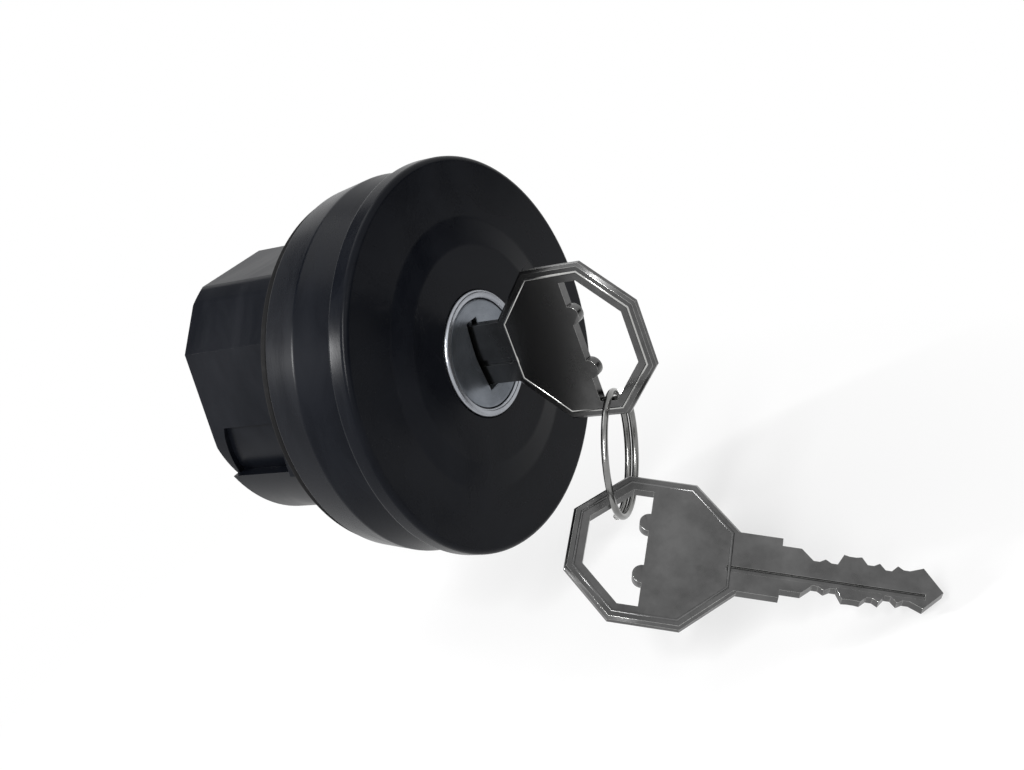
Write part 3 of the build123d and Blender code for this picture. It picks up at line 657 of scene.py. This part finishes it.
def bow_rims(node, body, key_axis, key_face, material):
    """Thin raised line that follows the bow's octagon on both faces of a key, and rides a body."""
    along = key_axis.normalized()
    face = key_face.normalized()
    height = face.cross(along)
    key = nodes[node]
    places = [key.matrix_world @ corner.co for corner in key.data.vertices]
    bow_end, _ = spread_along(places, along)
    bottom, top = spread_along(places, height)
    back, front = spread_along(places, face)
    centre = along * (bow_end + BOW_HALF * MM) + height * (bottom + top) / 2 + face * (back + front) / 2
    lift = (front - back) / 2 - (RIM_WIRE - RIM_PROUD) * MM
    reach = RIM_APOTHEM * MM / math.cos(math.pi / BOW_SIDES)
    curve = wire(node + "_rims", RIM_WIRE, roundness=3)
    for side in (1, -1):
        corners = []
        for k in range(BOW_SIDES):
            angle = 2 * math.pi / BOW_SIDES * (k + 0.5)
            spoke = along * math.cos(angle) + height * math.sin(angle)
            corners.append(centre + spoke * reach + face * lift * side)
        line = curve.splines.new("POLY")
        lay_points(line, corners)
        line.use_cyclic_u = True
    obj = add_object(node + "_rims", curve)
    curve.materials.append(material)
    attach(obj, body)


# The key in the lock has its bow rims in the brighter edge metal, a painted highlight; the spare's rims
# are plain key nickel
bow_rims("key", "plug_group", KEY_AXIS, KEY_FACE, worn_edge_and_highlight)
bow_rims("spare_key", "spare", SPARE_AXIS, SPARE_FACE, key_nickel)

# ------------------------------------------------------------------ floor, light and camera

# Places and lengths in this section are in metres.
WHITE = (1.0, 1.0, 1.0, 1.0)
PALE = (0.9, 0.9, 0.9, 1.0)
CARD_BLACK = (0.02, 0.02, 0.02, 1.0)
AMBIENT = 0.3
ORIGIN = (0, 0, 0)

# The floor lies this far under the object. From one distance to the other it fades to plain
# white, from a first share of white to the last.
FLOOR_GAP = 0.001
FLOOR_RADIUS = 4.0
FLOOR_Y = -0.02
FADE_START = 0.03
FADE_END = 0.13
FADE_FIRST = 0.55
FADE_LAST = 1.0


def seen_directly(tree):
    """Socket that gives 1 for camera, glossy and transmission rays, and 0 for the others."""
    path = tree.nodes.new("ShaderNodeLightPath")
    shown = path.outputs["Is Camera Ray"]
    for ray in ("Is Glossy Ray", "Is Transmission Ray"):
        larger = tree.nodes.new("ShaderNodeMath")
        larger.operation = "MAXIMUM"
        tree.links.new(shown, larger.inputs[0])
        tree.links.new(path.outputs[ray], larger.inputs[1])
        shown = larger.outputs[0]
    return shown


def mixed(tree, share, first, last):
    """Socket of a surface or background that goes from first to last by a share."""
    both = tree.nodes.new("ShaderNodeMixShader")
    for source, target in zip((share, first, last), both.inputs):
        tree.links.new(source, target)
    return both.outputs[0]


def pale_floor():
    """Pale matt board that fades into the white backdrop away from the object."""
    shader = Shader("pale_floor")
    shader.constants(Base_Color=PALE, Roughness=0.9, Specular_IOR_Level=0.1)
    glow = shader.add("ShaderNodeEmission", Color=WHITE, Strength=1.0)
    coords = shader.add("ShaderNodeTexCoord")
    far = shader.add("ShaderNodeVectorMath", operation="LENGTH")
    shader.link(coords, "Object", far, 0)
    fade = shader.ramp(far, "Value", FADE_START, FADE_END, FADE_FIRST, FADE_LAST)
    share = shader.add("ShaderNodeMath", operation="MULTIPLY")
    shader.link(fade, "Result", share, 0)
    shader.tree.links.new(seen_directly(shader.tree), share.inputs[1])
    faded = mixed(shader.tree, share.outputs[0], shader.bsdf.outputs[0], glow.outputs[0])
    shader.tree.links.new(faded, shader.out.inputs["Surface"])
    return shader.material


def make_floor():
    """Round board just under the object."""
    bm = bmesh.new()
    bmesh.ops.create_circle(bm, cap_ends=True, segments=96, radius=FLOOR_RADIUS)
    floor = add_object("floor", mesh_from("floor", bm))
    floor.location = (0, FLOOR_Y, cad_box[0].z - FLOOR_GAP)
    dress(floor, pale_floor())


def make_world():
    """White where it is seen, and a soft even grey where it lights the object."""
    world = bpy.data.worlds.new("studio")
    bpy.context.scene.world = world
    world.use_nodes = True
    tree = world.node_tree
    tree.nodes.clear()
    out = tree.nodes.new("ShaderNodeOutputWorld")
    light = tree.nodes.new("ShaderNodeBackground")
    light.inputs["Color"].default_value = WHITE
    light.inputs["Strength"].default_value = AMBIENT
    seen = tree.nodes.new("ShaderNodeBackground")
    seen.inputs["Color"].default_value = WHITE
    sky = mixed(tree, seen_directly(tree), light.outputs[0], seen.outputs[0])
    tree.links.new(sky, out.inputs["Surface"])


def aim(obj, place, target, forward):
    """Puts an object at a place, with its forward axis towards a target."""
    obj.location = place
    obj.rotation_mode = "QUATERNION"
    obj.rotation_quaternion = (Vector(target) - Vector(place)).to_track_quat(forward, "Y")


def softbox(name, place, target, width, height, watts):
    """Rectangular area lamp."""
    lamp = bpy.data.lights.new(name, "AREA")
    lamp.shape = "RECTANGLE"
    lamp.size = width
    lamp.size_y = height
    lamp.energy = watts
    aim(add_object(name, lamp), place, target, "-Z")


def dark_card(name, place, target, width, height):
    """Dark studio card that only reflections see, to keep the black nylon deep black."""
    bm = bmesh.new()
    half = 0.5  # a square of one metre, which the card's own size then scales
    bmesh.ops.create_grid(bm, x_segments=1, y_segments=1, size=half)
    card = add_object(name, mesh_from(name, bm))
    card.scale = (width, height, 1)
    aim(card, place, target, "Z")
    shader = Shader(name)
    shader.constants(Base_Color=CARD_BLACK, Roughness=0.9, Specular_IOR_Level=0.0)
    dress(card, shader.material)
    card.visible_camera = False
    card.visible_diffuse = False
    card.visible_shadow = False
    card.visible_transmission = False


make_floor()
make_world()
softbox("top_softbox", (0.02, 0.22, 0.50), ORIGIN, width=0.4, height=0.4, watts=0.9)
softbox("left_strip", (-0.42, -0.15, 0.27), ORIGIN, width=0.05, height=0.27, watts=2.4)
softbox("crest_strip", (-0.31, 0.36, 0.20), ORIGIN, width=0.02, height=0.08, watts=2.2)
softbox("front_softbox", (-0.20, -0.55, 0.35), (0, -0.03, -0.02), width=0.3, height=0.3, watts=0.3)
dark_card("front_card", (0.14, -0.30, -0.11), (0, -0.02, 0), width=0.55, height=0.45)
dark_card("upper_card", (-0.02, 0.29, 0.31), ORIGIN, width=0.45, height=0.20)

# The camera's frame, fitted to the photo: its place, and its right, up and back directions.
CAMERA_PLACE = Vector((-0.20806, -0.19238, 0.08407))
CAMERA_RIGHT = Vector((0.4948, -0.8018, -0.3352))
CAMERA_UP = Vector((0.4565, -0.0884, 0.8853))
CAMERA_BACK = Vector((-0.7395, -0.5910, 0.3223))
SENSOR_MM = 36.0
LENS_MM = 56.25


def make_camera():
    """The view of the cover's left side, from a little above, with the camera rolled."""
    camera = bpy.data.cameras.new("camera")
    camera.lens = LENS_MM
    camera.sensor_width = SENSOR_MM
    camera.clip_start = 0.01
    camera.clip_end = 20.0
    obj = add_object("camera", camera)
    turn = Matrix((CAMERA_RIGHT, CAMERA_UP, CAMERA_BACK)).transposed().to_4x4()
    obj.matrix_world = Matrix.Translation(CAMERA_PLACE) @ turn
    bpy.context.scene.camera = obj


make_camera()
bpy.context.scene.view_settings.view_transform = "Standard"
